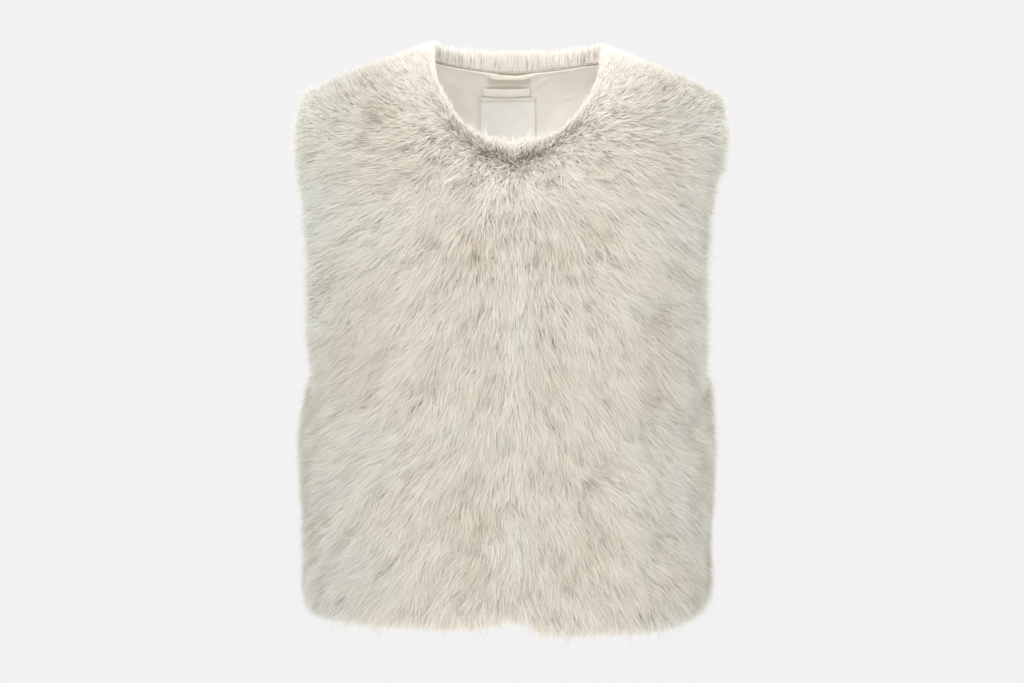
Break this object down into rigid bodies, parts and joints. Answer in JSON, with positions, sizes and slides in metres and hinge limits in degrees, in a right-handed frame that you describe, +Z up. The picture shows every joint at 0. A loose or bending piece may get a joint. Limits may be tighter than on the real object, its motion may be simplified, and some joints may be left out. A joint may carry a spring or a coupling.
{
  "type": "faux fur vest",
  "caption": "Short sleeveless faux fur vest in its worn, hollow form: open neck, armholes and hem, lined back, hanger loop and blank neck label.",
  "frame": {"origin": "midway between the two high shoulder points at the level of the cloth, where the vest hangs on its wearer's shoulders", "axes": "+Z up, -Y out of the front, +X to the wearer's left"},
  "size_m": [0.4258, 0.2965, 0.5705],
  "materials": {
    "fur": "long soft pile, matt with a slight sheen",
    "lining": "smooth woven lining",
    "label": "woven satin, blank"
  },
  "bodies": {
    "root": {"front_right": "fur", "front_left": "fur", "back": "fur", "back_lining": "lining", "hanger_loop": "lining", "neck_label": "label"}
  },
  "joints": []
}
